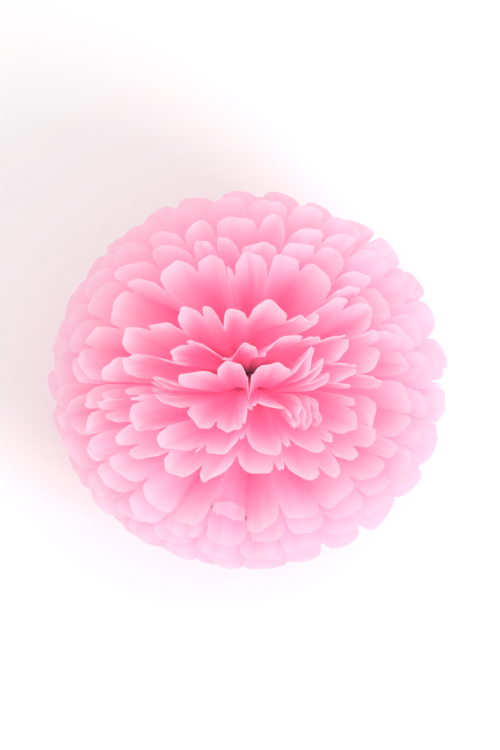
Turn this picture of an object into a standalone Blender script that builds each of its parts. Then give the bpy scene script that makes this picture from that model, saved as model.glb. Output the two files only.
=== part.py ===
"""Tissue paper pom pom. A stack of tissue sheets is pleated together, tied round the middle, cut to
round ends, fanned out on both sides of the tie and pulled apart sheet by sheet into a ball.

Metres, +Z up. The ball lies on its lowest petals and opens upwards, a little towards the front (-Y).
The pleats run front to rear, so the two half fans of each sheet meet in seams on the left and right.
"""

import math
import random

import bmesh
import bpy
from mathutils import Vector

# Paper as cut and pleated
STRIP_LENGTH = 0.250  # a pleat from petal tip to petal tip
PLEAT_WIDTH = 0.025  # from fold to fold, which is also the width of a petal
PAPER = 0.0004  # wall of the modelled sheet
PLEATS = 14  # in each sheet

# Ball as pulled open
TOP_SHEETS = 10  # whose petals belly away from the top; those of the others belly from the bottom
SHORT_REAR = 0.007  # how much less than half a strip the bent petals reach, to the rear and front
SHORT_TOP = 0.015
SHORT_BOTTOM = 0.020
OPENING_LEAN = 16.0  # degrees that the top of the flower leans to the front
LEAN_END = 110.0  # degrees from straight up where nothing leans any more

# Waist, where the tie gathers all sheets
WAIST_RADIUS = 0.0032  # of the first and last sheet
WAIST_FLARE = 0.00065  # how much wider each next sheet is, up to the middle ones
WAIST_GAP = 0.0005  # between two sheets
WAIST_SEAM = 16.0  # degrees from the tie to the first fold
MIDDLE_RADIUS = 0.062  # where the pleats still stand deepest
MIDDLE_DEPTH = 0.9  # of the full depth that pleats of this paper can have there
MIDDLE_SPREAD = 0.95  # of the sheets' angles from level, half way out
MIDDLE_SEAM = 2.5  # degrees from the seam to the first fold
MIDDLE_BALL = 0.07  # how much of the ball's flatness the folds have there
POLE_SHARE = 0.15  # most that a fold swings there, of its sheet's angle from straight up or down

# Tie
TIE_THICKNESS = 0.0008
TIE_GAP = 0.0003
TIE_TAIL = 0.012
TIE_TWISTS = 1.0
TIE_STEPS = 12  # to each end and to each half of the loop
TIE_SQUARENESS = 4  # 2 is an oval loop, more is squarer

# Angle of each sheet from straight up, in degrees, at the right, rear, left and front
SHEET_LIE = [
    (15, 12, 19, 13),
    (29, 20, 33, 19),
    (42, 29, 45, 29),
    (54, 38, 57, 53),
    (62, 47, 65, 61),
    (70, 56, 73, 70),
    (79, 67, 81, 79),
    (88, 79, 90, 90),
    (99, 92, 99, 101),
    (110, 106, 110, 111),
    (121, 119, 121, 121),
    (133, 132, 133, 132),
    (146, 145, 146, 145),
    (161, 161, 161, 160),
]
SHEETS = len(SHEET_LIE)
# Degrees that each sheet's seams stand off the left to right line
SEAM_OFFSET = [0, 2, -3, 2, 0, 1, -2, 3, -3, 1, 2, -1, 0, 0]

# The innermost sheet stands in two open cells, its other pleats pressed together beside them, and the
# next two lie round it. Fold ends seen from above, from the flower's axis, and how much of the full
# length each reaches, from the right seam over the rear to the left one, and back over the front
PLANNED_FOLDS = [
    [  # innermost sheet, rear and front
        [
            (0.039, 0.001, 0.95), (0.048, 0.011, 0.95), (0.035, 0.005, 0.96), (0.045, 0.020, 0.97),
            (0.032, 0.009, 0.98), (0.038, 0.027, 0.99), (0.026, 0.012, 1.00), (0.003, 0.015, 1.00),
            (-0.000, -0.002, 0.98), (-0.001, 0.013, 1.00), (-0.021, 0.014, 1.00), (-0.040, 0.004, 0.99),
            (-0.057, 0.007, 0.95), (-0.044, -0.000, 0.93), (-0.060, 0.003, 0.93),
        ],
        [
            (-0.059, -0.001, 0.93), (-0.043, -0.004, 0.93), (-0.056, -0.004, 0.95), (-0.038, -0.009, 0.98),
            (-0.021, -0.016, 1.00), (-0.004, -0.015, 1.00), (-0.001, -0.006, 0.98), (0.006, -0.002, 0.98),
            (0.023, -0.007, 1.00), (0.028, -0.021, 0.97), (0.030, 0.000, 0.97), (0.034, -0.024, 0.96),
            (0.036, -0.001, 0.95), (0.041, -0.023, 0.95), (0.039, -0.002, 0.95),
        ],
    ],
    [  # second sheet, rear and front
        [
            (0.060, -0.001, 0.97), (0.051, 0.005, 0.97), (0.065, 0.011, 0.97), (0.049, 0.017, 0.98),
            (0.060, 0.031, 0.98), (0.043, 0.030, 0.99), (0.033, 0.032, 1.00), (0.011, 0.028, 1.00),
            (0.006, 0.025, 1.00), (-0.011, 0.024, 1.00), (-0.018, 0.024, 1.00), (-0.038, 0.029, 1.00),
            (-0.040, 0.017, 1.00), (-0.064, 0.019, 0.98), (-0.071, 0.004, 0.97),
        ],
        [
            (-0.072, -0.002, 0.97), (-0.063, -0.006, 0.97), (-0.068, -0.011, 0.98), (-0.057, -0.026, 0.98),
            (-0.050, -0.023, 1.00), (-0.032, -0.035, 1.00), (-0.028, -0.033, 1.00), (-0.005, -0.025, 1.00),
            (-0.002, -0.023, 1.00), (0.021, -0.031, 1.00), (0.025, -0.028, 1.00), (0.046, -0.032, 1.00),
            (0.049, -0.026, 0.98), (0.061, -0.012, 0.98), (0.057, -0.004, 0.97),
        ],
    ],
    [  # third sheet, rear and front
        [
            (0.076, -0.004, 0.98), (0.067, 0.007, 0.98), (0.076, 0.022, 0.98), (0.067, 0.029, 0.99),
            (0.058, 0.046, 1.00), (0.038, 0.047, 1.00), (0.035, 0.038, 1.00), (0.024, 0.044, 1.00),
            (0.000, 0.046, 1.00), (-0.016, 0.040, 1.00), (-0.030, 0.047, 1.00), (-0.041, 0.036, 1.00),
            (-0.062, 0.033, 0.99), (-0.072, 0.017, 0.98), (-0.087, -0.001, 0.98),
        ],
        [
            (-0.087, -0.006, 0.98), (-0.077, -0.011, 0.98), (-0.084, -0.020, 0.98), (-0.070, -0.025, 0.98),
            (-0.068, -0.039, 0.99), (-0.051, -0.041, 1.00), (-0.029, -0.048, 1.00), (-0.007, -0.040, 1.00),
            (0.016, -0.045, 1.00), (0.022, -0.045, 1.00), (0.042, -0.051, 1.00), (0.051, -0.042, 1.00),
            (0.066, -0.042, 0.99), (0.065, -0.024, 0.98), (0.075, -0.008, 0.98),
        ],
    ],
]
PLANNED_MIDDLE = (0.7, 0.6, 0.5)  # how far they follow these places half way out
PLANNED_SETTLE = 0.3  # how far the uneven pulling moves them
MIDDLE_SETTLE = 0.5  # and the folds half way out of all sheets

# Cavities between petals: azimuth and angle from straight up, degrees; how much they widen; their reach
# in degrees
CAVITIES = [
    (122, 41, 0.8, 9),
    (150, 20, 0.4, 8),
    (28, 24, 0.4, 8),
    (136, 55, 0.5, 8),
    (62, 38, 0.4, 6),
]

FOLD_SWING = 0.0035  # of the folds above and below their sheet, at the cut ends
SIDE_SWING = 0.0075  # the same near the seams, where the pleats open less
SIDE_WIDTH = 0.75  # of the even width, for the petals near the seams
SIDE_START = 0.45  # of the way from the middle of a half fan to its seams
SWING_RANGE = (0.6, 1.1)  # of those swings, from fold to fold
NARROWEST_PETAL = 0.85  # of the widest one
FLATTEST = 0.94  # most of its width that a petal spans
NARROWEST_TURN = 0.001  # from one open petal to the next
SHORTEST_FOLD = 0.98  # of the full length, for a fold that bends on its way
SEAM_GAP = 0.7  # degrees from the seam to a sheet's edge at the tips
MOST_CUP = 0.008  # how deep an open petal bellies
PRESSED_FLATTER = 0.85  # how much less a petal does that lies on its neighbour
SHORTEST_PRESSED = 0.008  # a neighbour narrower than this presses nothing
PRESSED_FROM = 0.5  # cosine of the angle between two pleats where they begin to press
PRESSED_RANGE = 0.4  # and how much further they lie flat on each other
OPEN_FROM = 0.4  # of its width, where a pleat begins to open
OPEN_RANGE = 0.3  # and how much further it is open
INNER_CURL = 0.009  # how far the tips of the innermost petals turn outwards at most
OUTER_CURL = 0.003  # and those of the widest sheets
WIDE_LIE = 80.0  # degrees from the flower's axis to the widest sheets
LEAST_CURL = 0.4  # of the most
TIP_POWER = 2.4  # 2 is a half circle, more is blunter
TIP_ARC = (0.15, 0.5, 0.85)  # places across a petal's round end
SHARPEST_SMOOTH = 30.0  # degrees between faces that are shaded as one surface
DEEPEST_PINK = (0.95, 0.50, 0.66, 1.0)  # of the innermost sheet
PALEST_PINK = (0.95, 0.58, 0.70, 1.0)  # of the lowest sheet
THREAD_COLOUR = (0.85, 0.80, 0.80, 1.0)

REACH = STRIP_LENGTH / 2
NOTCH = REACH - PLEAT_WIDTH / 2
WAIST_STEP = PAPER + WAIST_GAP
FOLD_SEED, PETAL_SEED = 500, 7000
REAR, FRONT = 0, 1

# Uneven pulling, as waves over the ball: radians; turns round the axis; turns with the angle from straight
# up, in radians; phase. The first set moves folds sideways, the second up and down
SWING_WAVES = [(0.06, 3, 4.1, 0.7), (0.05, 5, -3.0, 2.1), (0.025, 9, 7.0, 1.3)]
RISE_WAVES = [(0.035, 4, 2.3, 1.0), (0.03, 7, -1.7, 3.9), (0.035, 11, 5.0, 2.0), (0.025, 17, -6.0, 0.5)]


def smooth(x):
    x = min(max(x, 0.0), 1.0)
    return x * x * (3 - 2 * x)


def direction(azimuth, lie):
    a, t = math.radians(azimuth), math.radians(lie)
    return Vector((math.cos(a) * math.sin(t), math.sin(a) * math.sin(t), math.cos(t)))


def sheet_lie(sheet, azimuth):
    """The sheet's angle from straight up at an azimuth, through its four given angles."""
    right, rear, left, front = SHEET_LIE[sheet]
    mean = (right + rear + left + front) / 4
    oval = (right + left - rear - front) / 4
    a = math.radians(azimuth)
    return (
        mean
        + (right - left) / 2 * math.cos(a)
        + (rear - front) / 2 * math.sin(a)
        + oval * math.cos(2 * a)
    )


def planned_folds(points):
    """Folds given as places seen from above, as azimuth, angle from straight up and reach."""
    folds = []
    for x, y, reach in points:
        azimuth = math.degrees(math.atan2(y, x)) % 360
        folds.append((azimuth, math.degrees(math.asin(math.hypot(x, y) / NOTCH)), reach))
    return folds


def side_share(place):
    """0 in the middle of a half fan, 1 at its seams."""
    return smooth((abs(2 * place / PLEATS - 1) - SIDE_START) / SIDE_START)


def pleat_steps(sheet, half, rng):
    """Shares of the ring from seam to seam. In the middle of the fan every second pleat is an open
    petal, and the one between turns steeply to the next where there is little room."""
    lie = math.radians(sheet_lie(sheet, 90 + 180 * half))
    even = math.pi * NOTCH * math.sin(lie) / PLEATS
    steps = []
    for pair in range(PLEATS // 2):
        side = side_share(2 * pair + 1)
        wide = min(FLATTEST * PLEAT_WIDTH * rng.uniform(NARROWEST_PETAL, 1.0), 2 * even - NARROWEST_TURN)
        narrow = 2 * even - wide
        steps += [wide * (1 - side) + even * SIDE_WIDTH * side, narrow * (1 - side) + even * SIDE_WIDTH * side]
    return [step / sum(steps) for step in steps]


def fold_ends(sheet, half):
    """Azimuth, angle from straight up and reach of each fold where it meets the cut ends."""
    if sheet < len(PLANNED_FOLDS):
        return planned_folds(PLANNED_FOLDS[sheet][half])
    rng = random.Random(FOLD_SEED + 10 * sheet + half)
    steps = pleat_steps(sheet, half, rng)
    turn = 1 if half == REAR else -1
    azimuth = 180 * half + SEAM_GAP + turn * SEAM_OFFSET[sheet]
    span = 180 - 2 * SEAM_GAP - 2 * turn * SEAM_OFFSET[sheet]
    folds = []
    for i in range(PLEATS + 1):
        side = side_share(i)
        swing = (FOLD_SWING + (SIDE_SWING - FOLD_SWING) * side) * rng.uniform(*SWING_RANGE)
        swing *= 1 if i % 2 else -1
        lie = sheet_lie(sheet, azimuth) + math.degrees(swing / NOTCH)
        folds.append((azimuth, lie, rng.uniform(SHORTEST_FOLD, 1.0)))
        azimuth += span * steps[min(i, PLEATS - 1)]
    return folds


def wander(way, share):
    """Uneven pulling: the same soft waves for all sheets, so that none crosses another."""
    azimuth = math.atan2(way.y, way.x)
    lie = math.acos(max(-1.0, min(1.0, way.z)))
    level = math.sin(lie) * share
    swing = sum(size * math.sin(a * azimuth + b * lie + c) for size, a, b, c in SWING_WAVES)
    rise = sum(size * math.sin(a * azimuth + b * lie + c) for size, a, b, c in RISE_WAVES)
    return direction(math.degrees(azimuth + swing * level), math.degrees(lie + rise * level))


def lean(way):
    """The flower's top leans to the front, and its equator stays."""
    lie = math.degrees(math.acos(max(-1.0, min(1.0, way.z))))
    a = math.radians(OPENING_LEAN) * (1 - smooth(lie / LEAN_END))
    return Vector(
        (
            way.x,
            math.cos(a) * way.y - math.sin(a) * way.z,
            math.sin(a) * way.y + math.cos(a) * way.z,
        )
    )


def widen(way, share):
    """Petals stand apart round each cavity."""
    for azimuth, lie, gain, width in CAVITIES:
        centre = lean(direction(azimuth, lie))
        apart = way.angle(centre, 0.0)
        reach = math.radians(width)
        if apart == 0.0:
            continue
        wider = apart * (1 + gain * share * math.exp(-((apart / reach) ** 2)))
        across = (way - centre * way.dot(centre)).normalized()
        way = centre * math.cos(wider) + across * math.sin(wider)
    return way


def settle(way, share):
    return widen(lean(wander(way, share)), share)


def ball_share(way):
    """How far the ball reaches in a direction, as a share of half a strip."""
    down = SHORT_BOTTOM if way.z < 0 else SHORT_TOP
    x, y, z = way.x, way.y * REACH / (REACH - SHORT_REAR), way.z * REACH / (REACH - down)
    return 1 / math.sqrt(x * x + y * y + z * z)


def waist_points(sheet, half):
    """Every second fold on the waist, where the tie holds the sheet flat."""
    height = ((SHEETS - 1) / 2 - sheet) * WAIST_STEP
    radius = WAIST_RADIUS + min(sheet, SHEETS - 1 - sheet) * WAIST_FLARE
    points = []
    for i in range(0, PLEATS + 1, 2):
        azimuth = 180 * half + WAIST_SEAM + i / PLEATS * (180 - 2 * WAIST_SEAM)
        flat = direction(azimuth, 90) * radius
        points.append(Vector((flat.x, flat.y, height)))
    return points


def middle_lie(sheet, azimuth, side):
    """Angle from straight up of a fold half way out, where the pleats stand above and below."""
    lie = 90 + (sheet_lie(sheet, azimuth) - 90) * MIDDLE_SPREAD
    spacing = math.pi * MIDDLE_RADIUS * math.sin(math.radians(lie)) / PLEATS
    depth = MIDDLE_DEPTH * math.sqrt(PLEAT_WIDTH**2 - spacing**2) / 2
    swing = min(math.degrees(depth / MIDDLE_RADIUS), POLE_SHARE * min(lie, 180 - lie))
    return lie + side * swing


def middle_points(sheet, half):
    """The folds half way out. They stand up and down together in all sheets, as they were pleated."""
    planned = fold_ends(sheet, half) if sheet < len(PLANNED_FOLDS) else None
    points = []
    for i in range(PLEATS + 1):
        azimuth = 180 * half + MIDDLE_SEAM + i / PLEATS * (180 - 2 * MIDDLE_SEAM)
        way = direction(azimuth, middle_lie(sheet, azimuth, 1 if i % 2 else -1))
        if planned:
            way = way.lerp(direction(*planned[i][:2]), PLANNED_MIDDLE[sheet]).normalized()
        way = settle(way, MIDDLE_SETTLE)
        points.append(way * MIDDLE_RADIUS * (1 - MIDDLE_BALL * (1 - ball_share(way))))
    return points


def pressed_share(ends, pleat):
    """How closely a pleat lies on one of its neighbours, from 0 to 1."""
    most = 0.0
    for fold, near, far in ((pleat, pleat + 1, pleat - 1), (pleat + 1, pleat, pleat + 2)):
        if 0 <= far <= PLEATS:
            own, other = ends[near] - ends[fold], ends[far] - ends[fold]
            if other.length * NOTCH > SHORTEST_PRESSED:
                close = own.normalized().dot(other.normalized())
                most = max(most, smooth((close - PRESSED_FROM) / PRESSED_RANGE))
    return most


def petal(rng, ends, middles, axis, pressed):
    """A function that gives a pleat's point at a share of its width and a length past its notches."""
    chord = (ends[1] - ends[0]).length * NOTCH
    open_share = smooth((chord / PLEAT_WIDTH - OPEN_FROM) / OPEN_RANGE) * (1 - PRESSED_FLATTER * pressed)
    slack = max(0.0, PLEAT_WIDTH - chord)
    cup = open_share * min(math.sqrt(slack * 3 * chord / 8), MOST_CUP)
    lie_share = smooth(math.degrees(axis.angle(ends[0] + ends[1])) / WIDE_LIE)
    curl = open_share * rng.uniform(LEAST_CURL, 1.0) * (INNER_CURL + (OUTER_CURL - INNER_CURL) * lie_share)
    way = (ends[0] + ends[1]).normalized()
    outward = (way * way.dot(axis) - axis).normalized()
    belly = way.cross(ends[1] - ends[0]).normalized()
    belly *= belly.dot(outward)

    def point(across, past):
        bow = 4 * across * (1 - across)
        end = ends[0].lerp(ends[1], across) * NOTCH
        along = (end - middles[0].lerp(middles[1], across)).normalized()
        turned = curl * (past / (REACH - NOTCH)) ** 2
        return end + along * past + belly * cup * bow + outward * turned * bow

    return point


def half_surface(mesh, sheet, half, waist):
    """One half fan, from the waist through the folds half way out to the cut ends."""
    ends = []
    for azimuth, lie, reach in fold_ends(sheet, half):
        way = settle(direction(azimuth, lie), PLANNED_SETTLE if sheet < len(PLANNED_FOLDS) else 1.0)
        ends.append(way * ball_share(way) * reach)
    axis = lean(Vector((0, 0, 1))) if sheet < TOP_SHEETS else Vector((0, 0, -1))
    middle = [mesh.verts.new(p) for p in middle_points(sheet, half)]
    notch = [mesh.verts.new(end * NOTCH) for end in ends]
    rng = random.Random(PETAL_SEED + 10 * sheet + half)
    for i in range(PLEATS):
        pressed = pressed_share(ends, i)
        point = petal(rng, ends[i : i + 2], (middle[i].co, middle[i + 1].co), axis, pressed)
        belly = mesh.verts.new(point(0.5, 0.0))
        rim = [notch[i]]
        for across in TIP_ARC:
            past = (REACH - NOTCH) * (1 - abs(2 * across - 1) ** TIP_POWER) ** (1 / TIP_POWER)
            rim.append(mesh.verts.new(point(across, past)))
        rim.append(notch[i + 1])
        for first, second in zip(rim, rim[1:]):
            mesh.faces.new((belly, first, second))
        mesh.faces.new((belly, middle[i], notch[i]))
        mesh.faces.new((belly, notch[i + 1], middle[i + 1]))
        mesh.faces.new((belly, middle[i + 1], middle[i]))
    for i in range(0, PLEATS, 2):
        near, far = waist[i // 2], waist[i // 2 + 1]
        mesh.faces.new((near, middle[i], middle[i + 1]))
        mesh.faces.new((near, middle[i + 1], far))
        mesh.faces.new((far, middle[i + 1], middle[i + 2]))


def paper_material(name, colour):
    material = bpy.data.materials.new(name)
    material.use_nodes = True
    shader = material.node_tree.nodes["Principled BSDF"]
    shader.inputs["Base Color"].default_value = colour
    shader.inputs["Roughness"].default_value = 0.85
    shader.inputs["Metallic"].default_value = 0.0
    return material


def add_sheet(sheet, collection):
    """A pleated sheet: its two half fans joined through the flat middle that the tie holds."""
    mesh = bmesh.new()
    waist = [[mesh.verts.new(p) for p in waist_points(sheet, half)] for half in (REAR, FRONT)]
    mesh.faces.new(waist[REAR] + waist[FRONT])
    for half in (REAR, FRONT):
        half_surface(mesh, sheet, half, waist[half])
    bmesh.ops.triangulate(mesh, faces=mesh.faces)
    bmesh.ops.recalc_face_normals(mesh, faces=mesh.faces)
    name = f"sheet_{sheet + 1:02d}"
    data = bpy.data.meshes.new(name)
    mesh.to_mesh(data)
    mesh.free()
    paler = sheet / (SHEETS - 1)
    colour = [a + (b - a) * paler for a, b in zip(DEEPEST_PINK, PALEST_PINK)]
    data.materials.append(paper_material(f"{name}_paper", colour))
    data.shade_smooth()
    data.set_sharp_from_angle(angle=math.radians(SHARPEST_SMOOTH))
    piece = bpy.data.objects.new(name, data)
    collection.objects.link(piece)
    wall = piece.modifiers.new("paper", "SOLIDIFY")
    wall.thickness = PAPER
    wall.offset = 0.0
    return piece


def tie_route():
    """Round the waist in the seams, with both ends twisted together on the right."""
    clear = TIE_GAP + TIE_THICKNESS / 2
    widest = WAIST_RADIUS + (SHEETS // 2 - 1) * WAIST_FLARE
    half_width = widest * math.cos(math.radians(WAIST_SEAM)) + clear
    half_height = (SHEETS - 1) / 2 * WAIST_STEP + PAPER / 2 + clear
    twist = TIE_THICKNESS / 2 + TIE_GAP / 2
    tail = []
    for i in range(TIE_STEPS + 1):
        share = i / TIE_STEPS
        a = math.pi * (0.5 + 2 * TIE_TWISTS * (1 - share))
        x = half_width + TIE_THICKNESS + TIE_TAIL * (1 - share)
        tail.append(Vector((x, twist * math.cos(a), twist * math.sin(a))))
    loop = []
    for i in range(1, 2 * TIE_STEPS):
        a = math.pi * i / TIE_STEPS
        x, z = math.cos(a), math.sin(a)
        # A squarish oval that clears the stack's corners
        swell = (x**TIE_SQUARENESS + z**TIE_SQUARENESS) ** (-1 / TIE_SQUARENESS)
        loop.append(Vector((half_width * x * swell, 0.0, half_height * z * swell)))
    return tail + loop + [Vector((p.x, -p.y, -p.z)) for p in reversed(tail)]


def add_tie(collection):
    curve = bpy.data.curves.new("tie", "CURVE")
    curve.dimensions = "3D"
    curve.bevel_depth = TIE_THICKNESS / 2
    curve.bevel_resolution = 2
    curve.use_fill_caps = True
    route = tie_route()
    spline = curve.splines.new("POLY")
    spline.points.add(len(route) - 1)
    for point, place in zip(spline.points, route):
        point.co = (*place, 1.0)
    curve.materials.append(paper_material("tie_thread", THREAD_COLOUR))
    tie = bpy.data.objects.new("tie", curve)
    collection.objects.link(tie)
    return tie


def stand_on_ground(pieces):
    """The origin goes under the middle of the ball, on the ground. The tie is inside the ball."""
    bpy.context.view_layer.update()
    graph = bpy.context.evaluated_depsgraph_get()
    corners = [Vector(c) for piece in pieces for c in piece.evaluated_get(graph).bound_box]
    low = Vector([min(c[i] for c in corners) for i in range(3)])
    high = Vector([max(c[i] for c in corners) for i in range(3)])
    offset = Vector((-(low.x + high.x) / 2, -(low.y + high.y) / 2, -low.z))
    for piece in pieces:
        piece.location = offset
    bpy.context.view_layer.update()


for old in list(bpy.data.objects):
    bpy.data.objects.remove(old)
pom_pom = bpy.data.collections.new("tissue_pom_pom")
bpy.context.scene.collection.children.link(pom_pom)
sheets = [add_sheet(sheet, pom_pom) for sheet in range(SHEETS)]
tie = add_tie(pom_pom)
stand_on_ground(sheets)
tie.location = sheets[0].location
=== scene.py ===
"""Tissue paper pom pom: fourteen pleated sheets of pink tissue, tied round the middle and pulled open
into a ball of round petals. Metres, +Z up."""

import math
import random

import bpy
import numpy as np
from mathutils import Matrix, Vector


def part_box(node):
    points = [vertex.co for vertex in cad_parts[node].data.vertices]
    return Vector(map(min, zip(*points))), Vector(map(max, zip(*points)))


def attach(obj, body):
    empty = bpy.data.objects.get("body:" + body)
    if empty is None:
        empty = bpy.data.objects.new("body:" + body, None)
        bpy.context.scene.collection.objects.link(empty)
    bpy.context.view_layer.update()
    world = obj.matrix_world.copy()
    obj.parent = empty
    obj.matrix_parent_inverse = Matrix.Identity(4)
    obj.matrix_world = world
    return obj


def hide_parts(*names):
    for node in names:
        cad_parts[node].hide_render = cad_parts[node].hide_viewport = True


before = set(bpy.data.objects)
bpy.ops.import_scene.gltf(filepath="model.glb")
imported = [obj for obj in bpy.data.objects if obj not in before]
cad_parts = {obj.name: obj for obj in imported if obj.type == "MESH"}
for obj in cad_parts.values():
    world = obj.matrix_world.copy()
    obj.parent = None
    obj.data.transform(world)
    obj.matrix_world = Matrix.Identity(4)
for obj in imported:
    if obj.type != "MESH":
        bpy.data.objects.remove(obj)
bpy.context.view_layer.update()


# Waist
# The pleated stack is tied round its middle, so all sheets run out of one small flat bundle. The tie
# goes round it in the seams between the two half fans.
WAIST_RADIUS = 0.0032  # of the first and last sheet
WAIST_FLARE = 0.00065  # how much wider each next sheet is, up to the middle ones
WAIST_FLARES = 6  # times that it gets wider
WAIST_STEP = 0.0009  # from sheet to sheet
WAIST_SEAM = 16.0  # degrees from the tie to the first fold
TIE_THICKNESS = 0.0008
TIE_GAP = 0.0003

# The tie's ends are twisted together on the right, so the waist is found from the loop's left side
tie_low, tie_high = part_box("tie")
widest_waist = WAIST_RADIUS + WAIST_FLARES * WAIST_FLARE
loop_half_width = widest_waist * math.cos(math.radians(WAIST_SEAM)) + TIE_GAP + TIE_THICKNESS
waist_middle = np.array(
    (tie_low.x + loop_half_width, (tie_low.y + tie_high.y) / 2, (tie_low.z + tie_high.z) / 2)
)

# Off-white cotton thread of two strands, whose turns show as fine slanting bumps, with painted shade
# darkening the grooves between them
thread = bpy.data.materials.new("thread")
thread.use_nodes = True
thread_nodes, thread_links = thread.node_tree.nodes, thread.node_tree.links
thread_shader = thread_nodes["Principled BSDF"]
thread_shader.inputs["Roughness"].default_value = 0.85
thread_place = thread_nodes.new("ShaderNodeTexCoord")
strands = thread_nodes.new("ShaderNodeTexWave")
strands.bands_direction = "DIAGONAL"
strands.inputs["Scale"].default_value = 700.0
strands.inputs["Distortion"].default_value = 1.5
strand_groove_shade_colours = thread_nodes.new("ShaderNodeValToRGB")
# Painted shade: the darker colour lies in the low grooves of the bump, between the turns
strand_groove_shade_colours.color_ramp.elements[0].color = (0.70, 0.62, 0.62, 1)
strand_groove_shade_colours.color_ramp.elements[1].color = (0.92, 0.88, 0.87, 1)
strand_bump = thread_nodes.new("ShaderNodeBump")
strand_bump.inputs["Strength"].default_value = 0.6
strand_bump.inputs["Distance"].default_value = 0.0001
thread_links.new(thread_place.outputs["Object"], strands.inputs["Vector"])
thread_links.new(strands.outputs["Fac"], strand_groove_shade_colours.inputs["Fac"])
thread_links.new(strands.outputs["Fac"], strand_bump.inputs["Height"])
thread_links.new(strand_groove_shade_colours.outputs["Color"], thread_shader.inputs["Base Color"])
thread_links.new(strand_bump.outputs["Normal"], thread_shader.inputs["Normal"])
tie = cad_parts["tie"]
for place in tie.material_slots:
    place.material = thread


# Sheets
# Each is one piece of thin soft tissue, 350 x 250 mm, pleated every 25 mm, cut to a round petal at both
# ends of every pleat and gathered at the waist. It is pulled open towards its own angle, the first
# sheets upwards round the flower's opening, the last ones down to the ground.
STRIP_LENGTH = 0.250  # a pleat from petal tip to petal tip
PLEAT_WIDTH = 0.025  # from fold to fold, which is also the width of a petal
PLEATS = 14  # in each sheet
PAPER = 0.00018  # thickness
REACH = STRIP_LENGTH / 2
NOTCH = REACH - PLEAT_WIDTH / 2  # from the waist to where two petals part

# Angle of each sheet from straight up, in degrees, at the right, rear, left and front
SHEET_LIE = [
    (15, 12, 19, 13),
    (29, 20, 33, 19),
    (42, 29, 45, 29),
    (54, 38, 57, 53),
    (62, 47, 65, 61),
    (70, 56, 73, 70),
    (79, 67, 81, 79),
    (88, 79, 90, 90),
    (99, 92, 99, 101),
    (110, 106, 110, 111),
    (121, 119, 121, 121),
    (133, 132, 133, 132),
    (146, 145, 146, 145),
    (161, 161, 161, 160),
]
SHEETS = len(SHEET_LIE)
REAR, FRONT = 0, 1
# Degrees that each sheet's seams stand off the left to right line
SEAM_OFFSET = [0, 2, -3, 2, 0, 1, -2, 3, -3, 1, 2, -1, 0, 0]
# Degrees that each sheet's petals are turned about the axis, so that they lie between those above
SHEET_TURN = [0, 0, 0, 0, 0.5, -1.5, 2, -1.5, 2, -2, 1.5, -1.5, 1, 0]

# The innermost sheet stands in two open cells, its other pleats pressed together beside them, and the
# next two lie round it. Fold ends seen from above, from the flower's axis, and how much of the full
# length each reaches, from the right seam over the rear to the left one, and back over the front
PLANNED_FOLDS = [
    [  # innermost sheet, rear and front
        [
            (0.039, 0.001, 0.95), (0.048, 0.011, 0.95), (0.035, 0.005, 0.96), (0.045, 0.020, 0.97),
            (0.032, 0.009, 0.98), (0.038, 0.027, 0.99), (0.026, 0.012, 1.00), (0.003, 0.015, 1.00),
            (-0.000, -0.002, 0.98), (-0.001, 0.013, 1.00), (-0.021, 0.014, 1.00), (-0.040, 0.004, 0.99),
            (-0.057, 0.007, 0.95), (-0.044, -0.000, 0.93), (-0.060, 0.003, 0.93),
        ],
        [
            (-0.059, -0.001, 0.93), (-0.043, -0.004, 0.93), (-0.056, -0.004, 0.95), (-0.038, -0.009, 0.98),
            (-0.021, -0.016, 1.00), (-0.004, -0.015, 1.00), (-0.001, -0.006, 0.98), (0.006, -0.002, 0.98),
            (0.023, -0.007, 1.00), (0.028, -0.021, 0.97), (0.030, 0.000, 0.97), (0.034, -0.024, 0.96),
            (0.036, -0.001, 0.95), (0.041, -0.023, 0.95), (0.039, -0.002, 0.95),
        ],
    ],
    [  # second sheet, rear and front
        [
            (0.060, -0.001, 0.97), (0.051, 0.005, 0.97), (0.065, 0.011, 0.97), (0.049, 0.017, 0.98),
            (0.060, 0.031, 0.98), (0.043, 0.030, 0.99), (0.033, 0.032, 1.00), (0.011, 0.028, 1.00),
            (0.006, 0.025, 1.00), (-0.011, 0.024, 1.00), (-0.018, 0.024, 1.00), (-0.038, 0.029, 1.00),
            (-0.040, 0.017, 1.00), (-0.064, 0.019, 0.98), (-0.071, 0.004, 0.97),
        ],
        [
            (-0.072, -0.002, 0.97), (-0.063, -0.006, 0.97), (-0.068, -0.011, 0.98), (-0.057, -0.026, 0.98),
            (-0.050, -0.023, 1.00), (-0.032, -0.035, 1.00), (-0.028, -0.033, 1.00), (-0.005, -0.025, 1.00),
            (-0.002, -0.023, 1.00), (0.021, -0.031, 1.00), (0.025, -0.028, 1.00), (0.046, -0.032, 1.00),
            (0.049, -0.026, 0.98), (0.061, -0.012, 0.98), (0.057, -0.004, 0.97),
        ],
    ],
    [  # third sheet, rear and front
        [
            (0.076, -0.004, 0.98), (0.067, 0.007, 0.98), (0.076, 0.022, 0.98), (0.067, 0.029, 0.99),
            (0.058, 0.046, 1.00), (0.038, 0.047, 1.00), (0.035, 0.038, 1.00), (0.024, 0.044, 1.00),
            (0.000, 0.046, 1.00), (-0.016, 0.040, 1.00), (-0.030, 0.047, 1.00), (-0.041, 0.036, 1.00),
            (-0.062, 0.033, 0.99), (-0.072, 0.017, 0.98), (-0.087, -0.001, 0.98),
        ],
        [
            (-0.087, -0.006, 0.98), (-0.077, -0.011, 0.98), (-0.084, -0.020, 0.98), (-0.070, -0.025, 0.98),
            (-0.068, -0.039, 0.99), (-0.051, -0.041, 1.00), (-0.029, -0.048, 1.00), (-0.007, -0.040, 1.00),
            (0.016, -0.045, 1.00), (0.022, -0.045, 1.00), (0.042, -0.051, 1.00), (0.051, -0.042, 1.00),
            (0.066, -0.042, 0.99), (0.065, -0.024, 0.98), (0.075, -0.008, 0.98),
        ],
    ],
]
PLANNED_MIDDLE = (1.0, 0.6, 0.5)  # how far each follows its plan half way out
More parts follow.
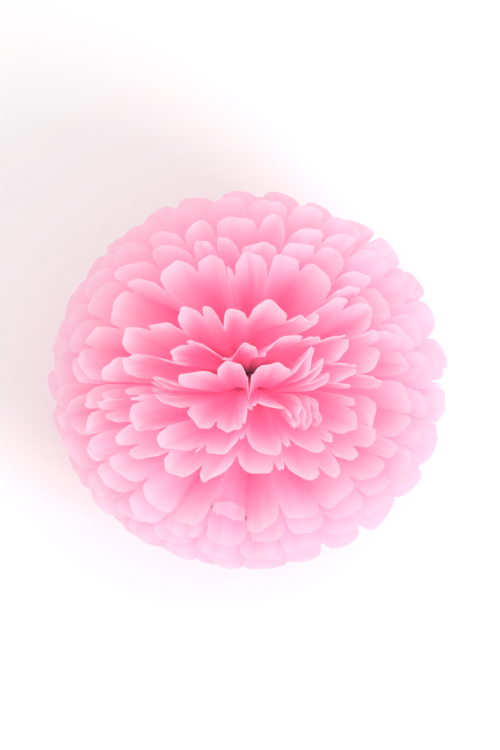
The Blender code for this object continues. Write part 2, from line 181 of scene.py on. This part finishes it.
PLANNED_SETTLE = 0.3  # how far the uneven pulling moves them


def smooth(x):
    x = min(max(x, 0.0), 1.0)
    return x * x * (3 - 2 * x)


def direction(azimuth, lie):
    a, t = math.radians(azimuth), math.radians(lie)
    return Vector((math.cos(a) * math.sin(t), math.sin(a) * math.sin(t), math.cos(t)))


def sheet_lie(sheet, azimuth):
    """The sheet's angle from straight up at an azimuth, through its four given angles."""
    right, rear, left, front = SHEET_LIE[sheet]
    mean = (right + rear + left + front) / 4
    oval = (right + left - rear - front) / 4
    a = math.radians(azimuth)
    return (
        mean
        + (right - left) / 2 * math.cos(a)
        + (rear - front) / 2 * math.sin(a)
        + oval * math.cos(2 * a)
    )


def planned_folds(points):
    """Folds given as places seen from above, as azimuth, angle from straight up and reach."""
    folds = []
    for x, y, reach in points:
        azimuth = math.degrees(math.atan2(y, x)) % 360
        folds.append((azimuth, math.degrees(math.asin(math.hypot(x, y) / NOTCH)), reach))
    return folds


FOLD_SWING = 0.0085  # of the folds above and below their sheet, at the cut ends
SIDE_SWING = 0.0095  # the same near the seams, where the pleats open less
SIDE_WIDTH = 0.75  # of the even width, for the petals near the seams
SIDE_START = 0.45  # of the way from the middle of a half fan to its seams
SWING_RANGE = (0.2, 1.3)  # of those swings, from fold to fold
NARROWEST_PETAL = 0.72  # of the widest one
FLATTEST = 0.84  # of its width that an open petal spans at most, before the uneven pulling
NARROWEST_TURN = 0.001  # from one open petal to the next
SHORTEST_FOLD = 0.97  # of the full length, for a fold that bends on its way
SEAM_GAP = 0.7  # degrees from the seam to a sheet's edge at the tips
FOLD_SEED = 500


def side_share(place):
    """0 in the middle of a half fan, 1 at its seams."""
    return smooth((abs(2 * place / PLEATS - 1) - SIDE_START) / SIDE_START)


def pleat_steps(sheet, half, rng):
    """Shares of the ring from seam to seam. In the middle of the fan every second pleat is an open
    petal, and the one between turns steeply to the next where there is little room."""
    lie = math.radians(sheet_lie(sheet, 90 + 180 * half))
    even = math.pi * NOTCH * math.sin(lie) / PLEATS
    steps = []
    for pair in range(PLEATS // 2):
        side = side_share(2 * pair + 1)
        wide = min(FLATTEST * PLEAT_WIDTH * rng.uniform(NARROWEST_PETAL, 1.0), 2 * even - NARROWEST_TURN)
        narrow = 2 * even - wide
        steps += [width * (1 - side) + even * SIDE_WIDTH * side for width in (wide, narrow)]
    return [step / sum(steps) for step in steps]


def fold_ends(sheet, half):
    """Azimuth, angle from straight up and reach of each fold where it meets the cut ends."""
    if sheet < len(PLANNED_FOLDS):
        return planned_folds(PLANNED_FOLDS[sheet][half])
    rng = random.Random(FOLD_SEED + 10 * sheet + half)
    steps = pleat_steps(sheet, half, rng)
    turn = 1 if half == REAR else -1
    azimuth = 180 * half + SEAM_GAP + turn * SEAM_OFFSET[sheet] + SHEET_TURN[sheet]
    span = 180 - 2 * SEAM_GAP - 2 * turn * SEAM_OFFSET[sheet]
    folds = []
    for i in range(PLEATS + 1):
        side = side_share(i)
        swing = (FOLD_SWING + (SIDE_SWING - FOLD_SWING) * side) * rng.uniform(*SWING_RANGE)
        swing *= 1 if i % 2 else -1
        lie = sheet_lie(sheet, azimuth) + math.degrees(swing / NOTCH)
        folds.append((azimuth, lie, rng.uniform(SHORTEST_FOLD, 1.0)))
        azimuth += span * steps[min(i, PLEATS - 1)]
    return folds


# Uneven pulling, as waves over the ball: radians, turns round the axis, turns with the angle from straight
# up, and phase. The first set moves folds sideways, the second up and down
SWING_WAVES = [(0.06, 3, 4.1, 0.7), (0.06, 5, -3.0, 2.1), (0.03, 9, 7.0, 1.3)]
RISE_WAVES = [(0.035, 4, 2.3, 1.0), (0.03, 7, -1.7, 3.9), (0.035, 11, 5.0, 2.0), (0.025, 17, -6.0, 0.5)]


def wander(way, share):
    """Uneven pulling: the same soft waves for all sheets, so that none crosses another."""
    azimuth = math.atan2(way.y, way.x)
    lie = math.acos(max(-1.0, min(1.0, way.z)))
    level = math.sin(lie) * share
    swing = sum(size * math.sin(a * azimuth + b * lie + c) for size, a, b, c in SWING_WAVES)
    rise = sum(size * math.sin(a * azimuth + b * lie + c) for size, a, b, c in RISE_WAVES)
    return direction(math.degrees(azimuth + swing * level), math.degrees(lie + rise * level))


OPENING_LEAN = 16.0  # degrees that the top of the flower leans to the front
LEAN_END = 110.0  # degrees from straight up where nothing leans any more


def lean(way):
    """The flower's top leans to the front, and its equator stays."""
    lie = math.degrees(math.acos(max(-1.0, min(1.0, way.z))))
    a = math.radians(OPENING_LEAN) * (1 - smooth(lie / LEAN_END))
    return Vector(
        (
            way.x,
            math.cos(a) * way.y - math.sin(a) * way.z,
            math.sin(a) * way.y + math.cos(a) * way.z,
        )
    )


# Cavities between petals: azimuth and angle from straight up in degrees, how much they widen, and how far
# that reaches in degrees
CAVITIES = [
    (122, 41, 1.0, 9),
    (150, 20, 0.5, 8),
    (28, 24, 0.4, 8),
    (140, 56, 0.9, 8),
    (62, 38, 0.7, 7),
    (100, 58, 0.8, 7),
    (166, 52, 0.8, 7),
    (48, 58, 0.7, 7),
    (196, 66, 0.7, 7),
    (224, 58, 0.6, 7),
]


def widen(way, share):
    """Petals stand apart round each cavity."""
    for azimuth, lie, gain, width in CAVITIES:
        centre = lean(direction(azimuth, lie))
        apart = way.angle(centre, 0.0)
        reach = math.radians(width)
        if apart == 0.0:
            continue
        wider = apart * (1 + gain * share * math.exp(-((apart / reach) ** 2)))
        across = (way - centre * way.dot(centre)).normalized()
        way = centre * math.cos(wider) + across * math.sin(wider)
    return way


def settle(way, share):
    return widen(lean(wander(way, share)), share)


SHORT_REAR = 0.007  # how much less than half a strip the bent petals reach, to the rear and front
SHORT_TOP = 0.015  # and to the top and bottom
SHORT_BOTTOM = 0.020


def ball_share(way):
    """How far the ball reaches in a direction, as a share of half a strip."""
    down = SHORT_BOTTOM if way.z < 0 else SHORT_TOP
    x, y, z = way.x, way.y * REACH / (REACH - SHORT_REAR), way.z * REACH / (REACH - down)
    return 1 / math.sqrt(x * x + y * y + z * z)


MIDDLE_RADIUS = 0.062  # where the pleats still stand deepest
MIDDLE_DEPTH = 0.9  # of the full depth that pleats of this paper can have there
MIDDLE_SPREAD = 0.95  # of the sheets' angles from level, half way out
MIDDLE_SEAM = 2.5  # degrees from the seam to the first fold
MIDDLE_BALL = 0.07  # how much of the ball's flatness the folds have there
MIDDLE_SETTLE = 0.5  # of the uneven pulling, that reaches the folds half way out
POLE_SHARE = 0.15  # most that a fold swings there, of its sheet's angle from straight up or down


def middle_lie(sheet, azimuth, side):
    """Angle from straight up of a fold half way out, where the pleats stand above and below."""
    lie = 90 + (sheet_lie(sheet, azimuth) - 90) * MIDDLE_SPREAD
    spacing = math.pi * MIDDLE_RADIUS * math.sin(math.radians(lie)) / PLEATS
    depth = MIDDLE_DEPTH * math.sqrt(PLEAT_WIDTH**2 - spacing**2) / 2
    swing = min(math.degrees(depth / MIDDLE_RADIUS), POLE_SHARE * min(lie, 180 - lie))
    return lie + side * swing


def waist_folds(sheet, half):
    """The folds on the waist's ring."""
    height = ((SHEETS - 1) / 2 - sheet) * WAIST_STEP
    radius = WAIST_RADIUS + min(sheet, SHEETS - 1 - sheet) * WAIST_FLARE
    points = []
    for i in range(PLEATS + 1):
        azimuth = 180 * half + WAIST_SEAM + i / PLEATS * (180 - 2 * WAIST_SEAM)
        flat = direction(azimuth, 90) * radius
        points.append((flat.x, flat.y, height))
    return np.array(points)


# Where the right and left cell close half way down, seen in the same way as the planned folds
CELL_HEARTS = ((0.019, -0.004), (-0.019, -0.006))
CELL_CLOSING = 0.6  # how far each fold goes there
CELL_WALL = 0.012  # width of the stretch between the cells whose folds go to both


def closed_cell(points):
    """The innermost sheet's folds half way down, where each cell has drawn together."""
    folds = []
    for x, y, reach in points:
        share = smooth(0.5 - x / CELL_WALL)
        heart = [a + (b - a) * share for a, b in zip(*CELL_HEARTS)]
        folds.append((x + (heart[0] - x) * CELL_CLOSING, y + (heart[1] - y) * CELL_CLOSING, reach))
    return planned_folds(folds)


def middle_folds(sheet, half):
    """The folds half way out. They stand up and down together in all sheets, as they were pleated."""
    planned = []
    if sheet < len(PLANNED_FOLDS):
        planned = closed_cell(PLANNED_FOLDS[0][half]) if sheet == 0 else fold_ends(sheet, half)
    points = []
    for i in range(PLEATS + 1):
        azimuth = 180 * half + MIDDLE_SEAM + i / PLEATS * (180 - 2 * MIDDLE_SEAM)
        way = direction(azimuth, middle_lie(sheet, azimuth, 1 if i % 2 else -1))
        if planned:
            way = way.lerp(direction(*planned[i][:2]), PLANNED_MIDDLE[sheet]).normalized()
        way = settle(way, MIDDLE_SETTLE)
        points.append(way * MIDDLE_RADIUS * (1 - MIDDLE_BALL * (1 - ball_share(way))))
    return np.array(points)


WIDEST_SPAN = 0.985  # of its width that any petal spans at most, as none lies quite flat
DRAWN_TIMES = 400  # small steps in which folds too far apart come together


def length(a):
    return np.linalg.norm(a, axis=-1, keepdims=True)


def notch_folds(sheet, half):
    """The folds where the petals part, as directions times their share of the reach. Paper doesn't
    stretch, so folds too far apart are drawn together, a little at a time."""
    ends = []
    for azimuth, lie, reach in fold_ends(sheet, half):
        way = settle(direction(azimuth, lie), PLANNED_SETTLE if sheet < len(PLANNED_FOLDS) else 1.0)
        ends.append(way * ball_share(way) * reach)
    ends = np.array(ends)
    reaches = length(ends)
    for _ in range(DRAWN_TIMES):
        spans = ends[1:] - ends[:-1]
        pull = spans * np.maximum(1 - WIDEST_SPAN * PLEAT_WIDTH / NOTCH / length(spans), 0) / 2
        ends[:-1] += pull
        ends[1:] -= pull
        ends *= reaches / length(ends)
    return ends


PRESS_START, PRESS_FULL = 0.5, 0.9  # cosines of the angle between two neighbours
SHORTEST_PRESSED = 0.008  # a neighbour narrower than this presses nothing


def pressed_share(ends, pleat):
    """How closely a pleat lies on one of its neighbours, from 0 to 1."""
    most = 0.0
    for fold, near, far in ((pleat, pleat + 1, pleat - 1), (pleat + 1, pleat, pleat + 2)):
        if 0 <= far <= PLEATS:
            own, other = ends[near] - ends[fold], ends[far] - ends[fold]
            if length(other) * NOTCH > SHORTEST_PRESSED:
                cosine = float(own @ other / (length(own) * length(other)))
                most = max(most, smooth((cosine - PRESS_START) / (PRESS_FULL - PRESS_START)))
    return most


def smooth_line(a, leave, b, arrive, share):
    """From a to b as the share goes from 0 to 1, in the directions in which it leaves and arrives."""
    return (
        a * (2 * share**3 - 3 * share**2 + 1)
        + leave * (share**3 - 2 * share**2 + share)
        + b * (3 * share**2 - 2 * share**3)
        + arrive * (share**3 - share**2)
    )


FLIPPED = (3, 1, 6)  # sheet, half and pleat of the one petal whose end is folded back over it
FLIP_TURN = math.radians(150)  # how far the end is folded over
FLIP_ROUND = 0.0014  # radius of that fold


def folded_back(over, end, outward):
    """The way back of a petal's end over the petal, round a soft fold."""
    bend = np.minimum(over / FLIP_ROUND, FLIP_TURN)
    rest = over - bend * FLIP_ROUND
    ahead = FLIP_ROUND * np.sin(bend) + rest * math.cos(FLIP_TURN)
    aside = FLIP_ROUND * (1 - np.cos(bend)) + rest * math.sin(FLIP_TURN)
    return end * ahead - outward * aside


PETAL_SEED = 7000
TOP_SHEETS = 10  # whose petals belly away from the top; those of the others belly from the bottom
ACROSS = 12  # quads across a pleat
INNER_ROWS = 9  # of quads from the waist to the middle
OUTER_ROWS = 24  # and on to the petal tips
CLOSED_SPAN, OPEN_SPAN = 0.2, 0.6  # of its width that a closed petal and an open one span
MOST_CUP = 0.0095  # how deep an open petal bellies
CUP_RANGE = (0.7, 1.1)  # from petal to petal, of the depth that its slack paper gives
CUP_START = 0.030  # distance from the waist where the cup starts
CUP_FULL = 0.110
PRESSED_FLATTER = 0.85  # how much less a petal does that lies on its neighbour
TIP_POWER = 2.4  # of the cut ends: 2 is a half circle, more is blunter
CURL_START = 0.080  # distance from the waist where the petals start to bend
INNER_CURL = (-0.001, 0.009)  # least and most that the tips bend outwards, near the flower's axis
OUTER_CURL = (-0.008, 0.008)  # and in the widest sheets
FIRST_CURL = (0.004, -0.005)  # in the rear and front of the innermost sheet
EDGE_CURL = 0.45  # how much the sides of a petal bend, of its middle
WIDE_LIE = 80.0  # degrees from the flower's axis to the widest sheets
MOST_SWAY = 0.008  # of a petal's tip to one side
MOST_SKEW = 0.4  # how far its deepest line leaves its middle
RIPPLE = 0.0010  # depth of the soft wrinkles along a petal
RIPPLES = (1.5, 2.0, 2.5)  # waves of them across it
SKIRT = range(3, 7)  # sheets whose front petals make the smooth skirt under the opening
SKIRT_BULGE = (-0.5, 0.7)  # range of their cup: less than 0 arches up instead


def half_fan(sheet, half):
    """Places of the half sheet's grid: pleats x columns, rows from the waist to the petal tips."""
    waist, middle, ends = waist_folds(sheet, half), middle_folds(sheet, half), notch_folds(sheet, half)
    notch = ends * NOTCH
    axis = np.array(lean(Vector((0, 0, 1)))) if sheet < TOP_SHEETS else np.array((0.0, 0.0, -1.0))
    rng = random.Random(PETAL_SEED + 10 * sheet + half)
    columns = PLEATS * ACROSS + 1
    rows = INNER_ROWS + OUTER_ROWS + 1
    grid = np.zeros((columns, rows, 3))
    flat = np.zeros((columns, rows))
    for pleat in range(PLEATS):
        across = np.linspace(0, 1, ACROSS + 1)[:, None]
        bow = 4 * across * (1 - across)
        waist_at = waist[pleat] + (waist[pleat + 1] - waist[pleat]) * across
        middle_at = middle[pleat] + (middle[pleat + 1] - middle[pleat]) * across
        notch_at = notch[pleat] + (notch[pleat + 1] - notch[pleat]) * across
        inner_run, outer_run = length(middle_at - waist_at), length(notch_at - middle_at)
        start, end = (middle_at - waist_at) / inner_run, (notch_at - middle_at) / outer_run
        through = (start * outer_run + end * inner_run) / (inner_run + outer_run)
        tip = PLEAT_WIDTH / 2 * (1 - np.abs(2 * across - 1) ** TIP_POWER) ** (1 / TIP_POWER)

        # How far it bellies, which is as much as its folds leave it slack
        chord = float(np.linalg.norm(notch[pleat + 1] - notch[pleat]))
        way = (ends[pleat] + ends[pleat + 1]) / 2
        way /= np.linalg.norm(way)
        outward = way * (way @ axis) - axis
        outward /= np.linalg.norm(outward)
        belly = np.cross(way, ends[pleat + 1] - ends[pleat])
        belly /= np.linalg.norm(belly)
        belly *= belly @ outward
        slack = max(0.0, PLEAT_WIDTH - chord)
        openness = smooth((chord / PLEAT_WIDTH - CLOSED_SPAN) / (OPEN_SPAN - CLOSED_SPAN))
        openness *= 1 - PRESSED_FLATTER * pressed_share(ends, pleat)
        # An arc this much longer than its chord stands so far off it
        arc_height = math.sqrt(slack * 3 * chord / 8)
        cup = openness * min(arc_height, MOST_CUP) * rng.uniform(*CUP_RANGE)
        if sheet in SKIRT and half == FRONT:
            cup *= rng.uniform(*SKIRT_BULGE)
        skew = rng.uniform(-MOST_SKEW, MOST_SKEW)

        # How its tip curls outwards and leans to one side, and its soft wrinkles
        wide = smooth(math.degrees(math.acos(np.clip(way @ axis, -1, 1))) / WIDE_LIE)
        least, most = (a + (b - a) * wide for a, b in zip(INNER_CURL, OUTER_CURL))
        curl = openness * (FIRST_CURL[half] if sheet == 0 else rng.uniform(least, most))
        curl_loss = abs(curl) / (REACH - CURL_START)
        sideways = (ends[pleat + 1] - ends[pleat]) / length(ends[pleat + 1] - ends[pleat])
        sway = openness * rng.uniform(-MOST_SWAY, MOST_SWAY)
        ripple_phase = rng.uniform(0, 2 * math.pi)
        ripple_count = rng.choice(RIPPLES)
        ripple = RIPPLE * np.sin(2 * math.pi * ripple_count * across + ripple_phase) * np.sqrt(bow)

        for row in range(rows):
            if row <= INNER_ROWS:
                share = row / INNER_ROWS
                place = smooth_line(waist_at, start * inner_run, middle_at, through * inner_run, share)
                out = length(waist_at) + share * inner_run
            else:
                past = (row - INNER_ROWS) / OUTER_ROWS * (outer_run + tip)
                share = np.minimum(past / outer_run, 1.0)
                place = smooth_line(middle_at, through * outer_run, notch_at, end * outer_run, share)
                over = np.maximum(past - outer_run, 0)
                flipped = (sheet, half, pleat) == FLIPPED
                place += folded_back(over, end, outward) if flipped else end * over
                out = length(waist_at) + inner_run + past
            rise = np.clip((out - CUP_START) / (CUP_FULL - CUP_START), 0, 1)
            rise = rise * rise * (3 - 2 * rise)
            place += belly * (cup * bow * (1 + skew * (2 * across - 1)) + ripple) * rise
            bent = np.maximum(out - CURL_START, 0) / (REACH - CURL_START)
            turned = bent**2 * (EDGE_CURL + (1 - EDGE_CURL) * bow)
            place += outward * curl * turned + sideways * sway * turned * bow
            place -= way * abs(curl) * curl_loss * turned * bent
            column = pleat * ACROSS
            grid[column : column + ACROSS + 1, row] = place
            flat[column : column + ACROSS + 1, row] = (out - length(waist_at))[:, 0]
    return grid, flat / flat.max()


def folded_places(sheet):
    """The whole sheet's grid, front petal tips to rear petal tips, from the right seam to the left, and
    how far along the flat strip each place is."""
    rear, rear_flat = half_fan(sheet, REAR)
    front, front_flat = (side[::-1] for side in half_fan(sheet, FRONT))
    fold_line = (rear[:, :1] + front[:, :1]) / 2
    places = np.concatenate((front[:, ::-1], fold_line, rear), axis=1)
    along = np.concatenate((-front_flat[:, ::-1], 0 * rear_flat[:, :1], rear_flat), axis=1)
    return places, (along + 1) / 2


# Thin soft tissue that light shines through, with fine creases along the pleats. Its colour goes from the
# paper's own pale pink at the tips to a painted shade of deeper pink towards the waist, where the sheets
# lie close and light passes between them many times, and a painted glow is added there.
TIP_COLOUR = (0.985, 0.81, 0.895, 1)
# Painted shade: the deeper pink towards the waist, not the paper's own colour
PAINTED_SHADE_COLOUR = (0.975, 0.53, 0.71, 1)
FULL_PAINTED_SHADE_END = 0.062  # distance from the tie up to which the painted shade is full, where the sheets lie close together
# distance from the tie where the painted shade has faded into the paper's own tip colour
PAINTED_SHADE_END = 0.134
# Painted glow: an emission in the deep part of the sheets, for light passed between them
PAINTED_GLOW_COLOUR = (1.0, 0.24, 0.44, 1)
PAINTED_GLOW_STRENGTH = 0.3
PAINTED_GLOW_START, PAINTED_GLOW_FULL = 0.016, 0.058  # distances from the tie over which the painted glow fades in
CENTIMETRES = 100  # the sheet's map is in them

tissue = bpy.data.materials.new("tissue")
tissue.use_nodes = True
nodes, links = tissue.node_tree.nodes, tissue.node_tree.links
shader = nodes["Principled BSDF"]
shader.inputs["Roughness"].default_value = 0.9
shader.inputs["Specular IOR Level"].default_value = 0.15
through = nodes.new("ShaderNodeBsdfTranslucent")
mix = nodes.new("ShaderNodeMixShader")
mix.inputs["Fac"].default_value = 0.55
paper = nodes.new("ShaderNodeUVMap")
paper.uv_map = "UVMap"
# Places on the flat sheet, from its middle
flat = nodes.new("ShaderNodeMapping")
flat.inputs["Location"].default_value = (0, -REACH * CENTIMETRES, 0)
flat.inputs["Scale"].default_value = (
    PLEATS * PLEAT_WIDTH * CENTIMETRES,
    STRIP_LENGTH * CENTIMETRES,
    1,
)
links.new(paper.outputs["UV"], flat.inputs["Vector"])

parts = nodes.new("ShaderNodeSeparateXYZ")
distance = nodes.new("ShaderNodeMath")
distance.operation = "ABSOLUTE"
# Painted shade: 0 near the waist, 1 where the paper's own tip colour starts
depth = nodes.new("ShaderNodeMapRange")
depth.interpolation_type = "SMOOTHSTEP"
depth.inputs["From Min"].default_value = FULL_PAINTED_SHADE_END * CENTIMETRES
depth.inputs["From Max"].default_value = PAINTED_SHADE_END * CENTIMETRES
links.new(flat.outputs["Vector"], parts.inputs["Vector"])
links.new(parts.outputs["Y"], distance.inputs[0])
links.new(distance.outputs["Value"], depth.inputs["Value"])
# The paper's tip colour, darkened into the painted shade towards the waist
paper_and_painted_shade = nodes.new("ShaderNodeMix")
paper_and_painted_shade.data_type = "RGBA"
paper_and_painted_shade.inputs["A"].default_value = PAINTED_SHADE_COLOUR
paper_and_painted_shade.inputs["B"].default_value = TIP_COLOUR
links.new(depth.outputs["Result"], paper_and_painted_shade.inputs["Factor"])

fibres = nodes.new("ShaderNodeTexNoise")
fibres.inputs["Scale"].default_value = 9.0
fibres.inputs["Detail"].default_value = 5
cloudy = nodes.new("ShaderNodeMix")
cloudy.data_type = "RGBA"
cloudy.blend_type = "SOFT_LIGHT"
cloudy.inputs["Factor"].default_value = 0.12
links.new(flat.outputs["Vector"], fibres.inputs["Vector"])
links.new(paper_and_painted_shade.outputs["Result"], cloudy.inputs["A"])
links.new(fibres.outputs["Color"], cloudy.inputs["B"])

along = nodes.new("ShaderNodeMapping")
along.inputs["Scale"].default_value = (1, 0.12, 1)
creases = nodes.new("ShaderNodeTexNoise")
creases.inputs["Scale"].default_value = 3.0
creases.inputs["Detail"].default_value = 4
bump = nodes.new("ShaderNodeBump")
bump.inputs["Strength"].default_value = 0.55
bump.inputs["Distance"].default_value = 0.0008
links.new(flat.outputs["Vector"], along.inputs["Vector"])
links.new(along.outputs["Vector"], creases.inputs["Vector"])
links.new(creases.outputs["Fac"], bump.inputs["Height"])

# Painted glow: an emission standing in for the light that sheets as close as these pass on to each other
# many times. It doesn't reach the tie
painted_glow_rise = nodes.new("ShaderNodeMapRange")
painted_glow_rise.interpolation_type = "SMOOTHSTEP"
painted_glow_rise.inputs["From Min"].default_value = PAINTED_GLOW_START * CENTIMETRES
painted_glow_rise.inputs["From Max"].default_value = PAINTED_GLOW_FULL * CENTIMETRES
fading = nodes.new("ShaderNodeMath")
fading.operation = "SUBTRACT"
fading.inputs[0].default_value = 1.0
share = nodes.new("ShaderNodeMath")
share.operation = "MULTIPLY"
painted_glow = nodes.new("ShaderNodeMix")
painted_glow.data_type = "RGBA"
painted_glow.inputs["A"].default_value = (0, 0, 0, 1)
painted_glow.inputs["B"].default_value = PAINTED_GLOW_COLOUR
links.new(distance.outputs["Value"], painted_glow_rise.inputs["Value"])
links.new(depth.outputs["Result"], fading.inputs[1])
links.new(painted_glow_rise.outputs["Result"], share.inputs[0])
links.new(fading.outputs["Value"], share.inputs[1])
links.new(share.outputs["Value"], painted_glow.inputs["Factor"])
# The painted glow goes into the paper's emission
links.new(painted_glow.outputs["Result"], shader.inputs["Emission Color"])
shader.inputs["Emission Strength"].default_value = PAINTED_GLOW_STRENGTH

for side in (shader.inputs["Base Color"], through.inputs["Color"]):
    links.new(cloudy.outputs["Result"], side)
for side in (shader, through):
    links.new(bump.outputs["Normal"], side.inputs["Normal"])
links.new(shader.outputs["BSDF"], mix.inputs[1])
links.new(through.outputs["BSDF"], mix.inputs[2])
# Light that has entered the paper leaves it on the other side
inside = nodes.new("ShaderNodeNewGeometry")
clear = nodes.new("ShaderNodeBsdfTransparent")
wall = nodes.new("ShaderNodeMixShader")
links.new(inside.outputs["Backfacing"], wall.inputs["Fac"])
links.new(mix.outputs["Shader"], wall.inputs[1])
links.new(clear.outputs["BSDF"], wall.inputs[2])
links.new(wall.outputs["Shader"], nodes["Material Output"].inputs["Surface"])


def add_sheet(sheet):
    """A flat sheet of its cut size, folded into its place point by point."""
    places, along = folded_places(sheet)
    columns, rows = places.shape[:2]
    bpy.ops.object.select_all(action="DESELECT")
    bpy.ops.mesh.primitive_grid_add(x_subdivisions=columns - 1, y_subdivisions=rows - 1, size=1)
    piece = bpy.context.object
    piece.name = f"tissue_sheet_{sheet + 1:02d}"
    mesh = piece.data
    flat = np.empty(len(mesh.vertices) * 3)
    mesh.vertices.foreach_get("co", flat)
    flat = flat.reshape(-1, 3)
    column = np.rint((flat[:, 0] + 0.5) * (columns - 1)).astype(int)
    row = np.rint((flat[:, 1] + 0.5) * (rows - 1)).astype(int)
    mesh.vertices.foreach_set("co", (places[column, row] + waist_middle).ravel())
    corners = np.empty(len(mesh.loops), int)
    mesh.loops.foreach_get("vertex_index", corners)
    paper_map = np.stack((column / (columns - 1), along[column, row]), axis=1)[corners]
    mesh.uv_layers["UVMap"].uv.foreach_set("vector", paper_map.ravel())
    mesh.update()
    mesh.materials.append(tissue)
    wall = piece.modifiers.new("thickness", "SOLIDIFY")
    wall.thickness = PAPER
    wall.offset = 0.0
    bpy.ops.object.modifier_apply(modifier=wall.name)
    bpy.ops.object.shade_smooth_by_angle(angle=math.radians(40))
    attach(piece, "root")
    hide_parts(f"sheet_{sheet + 1:02d}")


for sheet in range(SHEETS):
    add_sheet(sheet)


# Floor
# A plain white tabletop that runs out of view on all sides.
bpy.ops.object.select_all(action="DESELECT")
bpy.ops.mesh.primitive_circle_add(vertices=96, radius=6.0, fill_type="NGON")
floor = bpy.context.object
floor.name = "floor"
floor_material = bpy.data.materials.new("floor_white")
floor_material.use_nodes = True
floor_shader = floor_material.node_tree.nodes["Principled BSDF"]
floor_shader.inputs["Base Color"].default_value = (0.97, 0.97, 0.97, 1)
floor_shader.inputs["Roughness"].default_value = 0.9
floor.data.materials.append(floor_material)


# Camera and lights
# The photo looks down on the ball from above its front, and soft light comes from the lower right.
CAMERA_ELEVATION = 80.0
CAMERA_DISTANCE = 1.6
VIEW_WIDTH = 0.307  # at the ball's middle
SENSOR = 36.0
TALL = 750  # pixels of the photo's height, in which the shift is measured
SHIFT = (2, 8)

elevation = math.radians(CAMERA_ELEVATION)
back = Vector((0, -math.cos(elevation), math.sin(elevation)))
camera_data = bpy.data.cameras.new("camera")
camera_data.sensor_fit = "HORIZONTAL"
camera_data.sensor_width = SENSOR
camera_data.lens = SENSOR * CAMERA_DISTANCE / VIEW_WIDTH
camera_data.shift_x = SHIFT[0] / TALL
camera_data.shift_y = SHIFT[1] / TALL
camera = bpy.data.objects.new("camera", camera_data)
bpy.context.scene.collection.objects.link(camera)
camera.location = Vector(waist_middle) + back * CAMERA_DISTANCE
camera.rotation_euler = back.to_track_quat("Z", "Y").to_euler()
bpy.context.scene.camera = camera

KEY_PLACE = Vector((1.0, -0.9, 1.1))  # from the ball's middle
key_data = bpy.data.lights.new("key", "AREA")
key_data.shape = "DISK"
key_data.size = 0.8
key_data.energy = 12
key = bpy.data.objects.new("key", key_data)
bpy.context.scene.collection.objects.link(key)
key.location = Vector(waist_middle) + KEY_PLACE
key.rotation_euler = KEY_PLACE.to_track_quat("Z", "Y").to_euler()

world = bpy.data.worlds.new("studio")
bpy.context.scene.world = world
world.use_nodes = True
world.node_tree.nodes["Background"].inputs["Color"].default_value = (1, 1, 1, 1)
world.node_tree.nodes["Background"].inputs["Strength"].default_value = 0.92

scene_view = bpy.context.scene.view_settings
scene_view.view_transform = "Standard"

bpy.context.view_layer.update()
